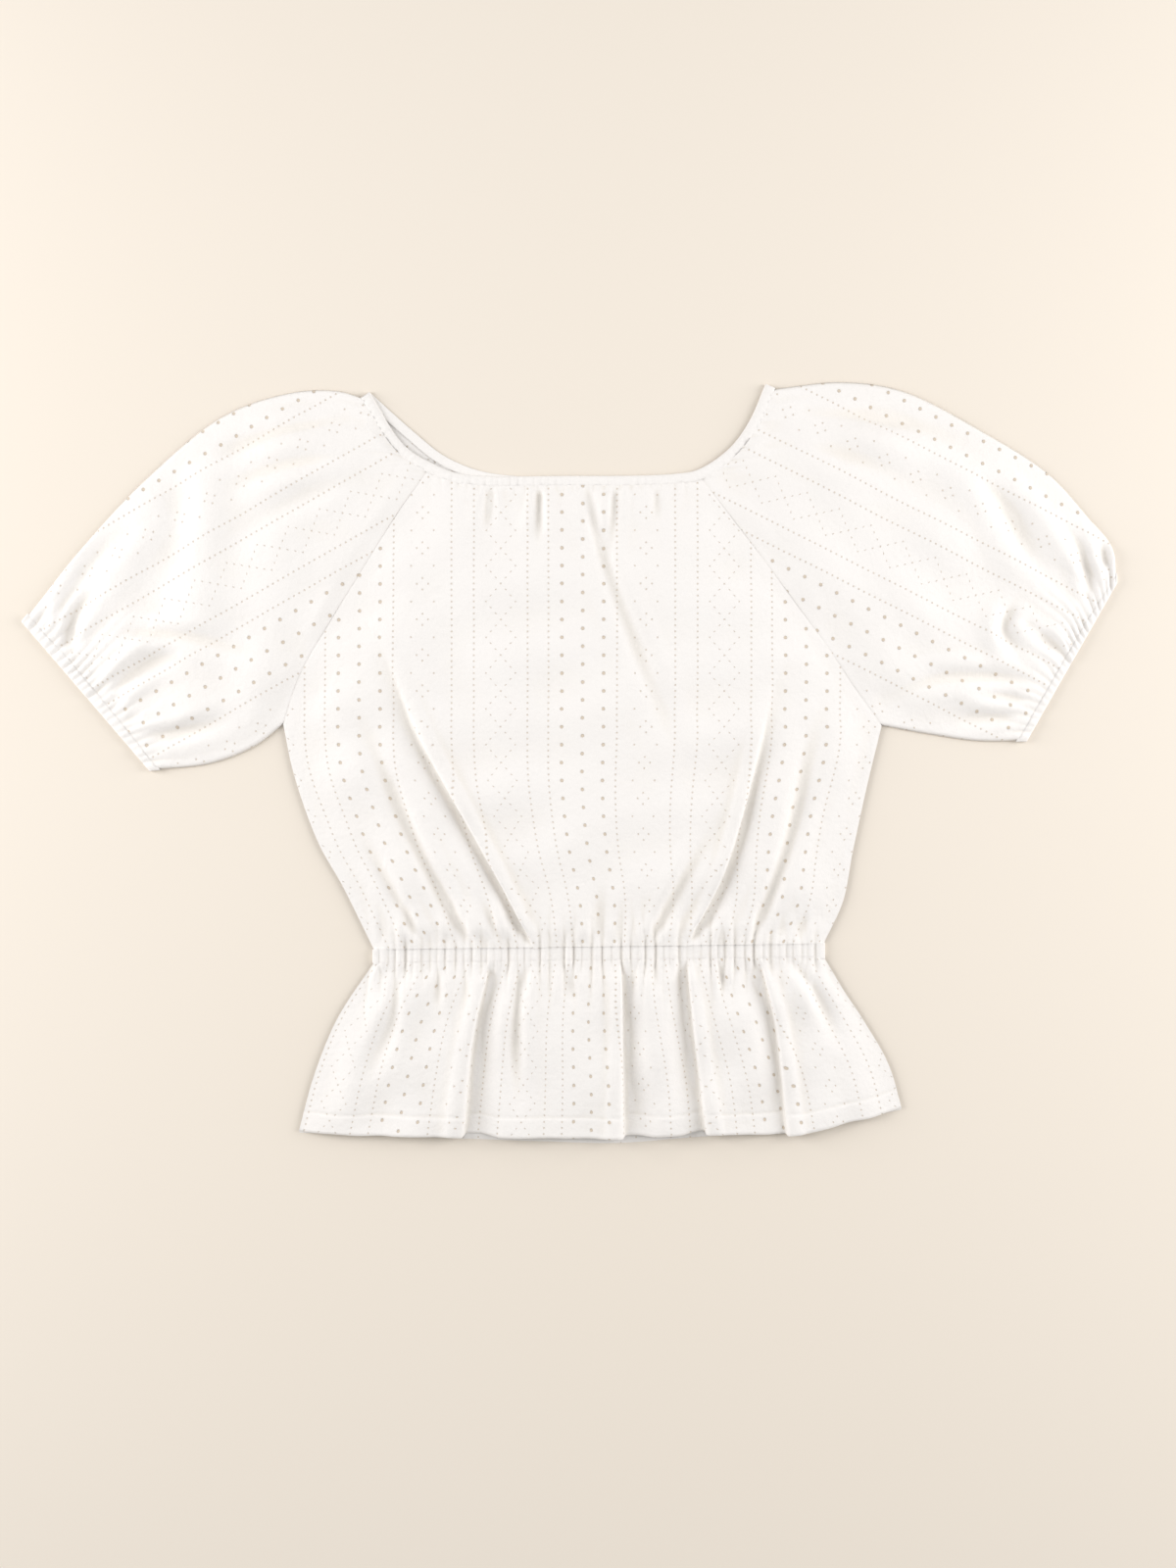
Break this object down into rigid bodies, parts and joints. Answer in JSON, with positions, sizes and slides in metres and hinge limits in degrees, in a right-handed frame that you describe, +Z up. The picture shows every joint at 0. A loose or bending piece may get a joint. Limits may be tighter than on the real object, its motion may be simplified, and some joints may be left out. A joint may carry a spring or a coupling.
{
  "type": "puff-sleeve peplum top",
  "caption": "White pointelle jersey top laid flat, with a wide gathered neck, raglan puff sleeves with elastic cuffs, an elastic waist and a gathered peplum",
  "frame": {"origin": "on the surface that the top lies on, under the middle of its outline", "axes": "+Z up from the surface, +X across the shoulders, +Y from the hem to the neck"},
  "size_m": [0.736, 0.5114, 0.0069],
  "materials": {
    "jersey": "soft matt cotton jersey with rows of small knitted eyelets",
    "casing": "the same jersey, doubled over flat elastic and finely gathered"
  },
  "bodies": {
    "root": {"back_bodice": "jersey", "front_bodice": "jersey", "peplum_back": "jersey", "peplum_front": "jersey", "sleeve_left": "jersey", "sleeve_right": "jersey", "neck_casing": "casing", "waist_casing": "casing", "cuff_left": "casing", "cuff_right": "casing"}
  },
  "joints": []
}
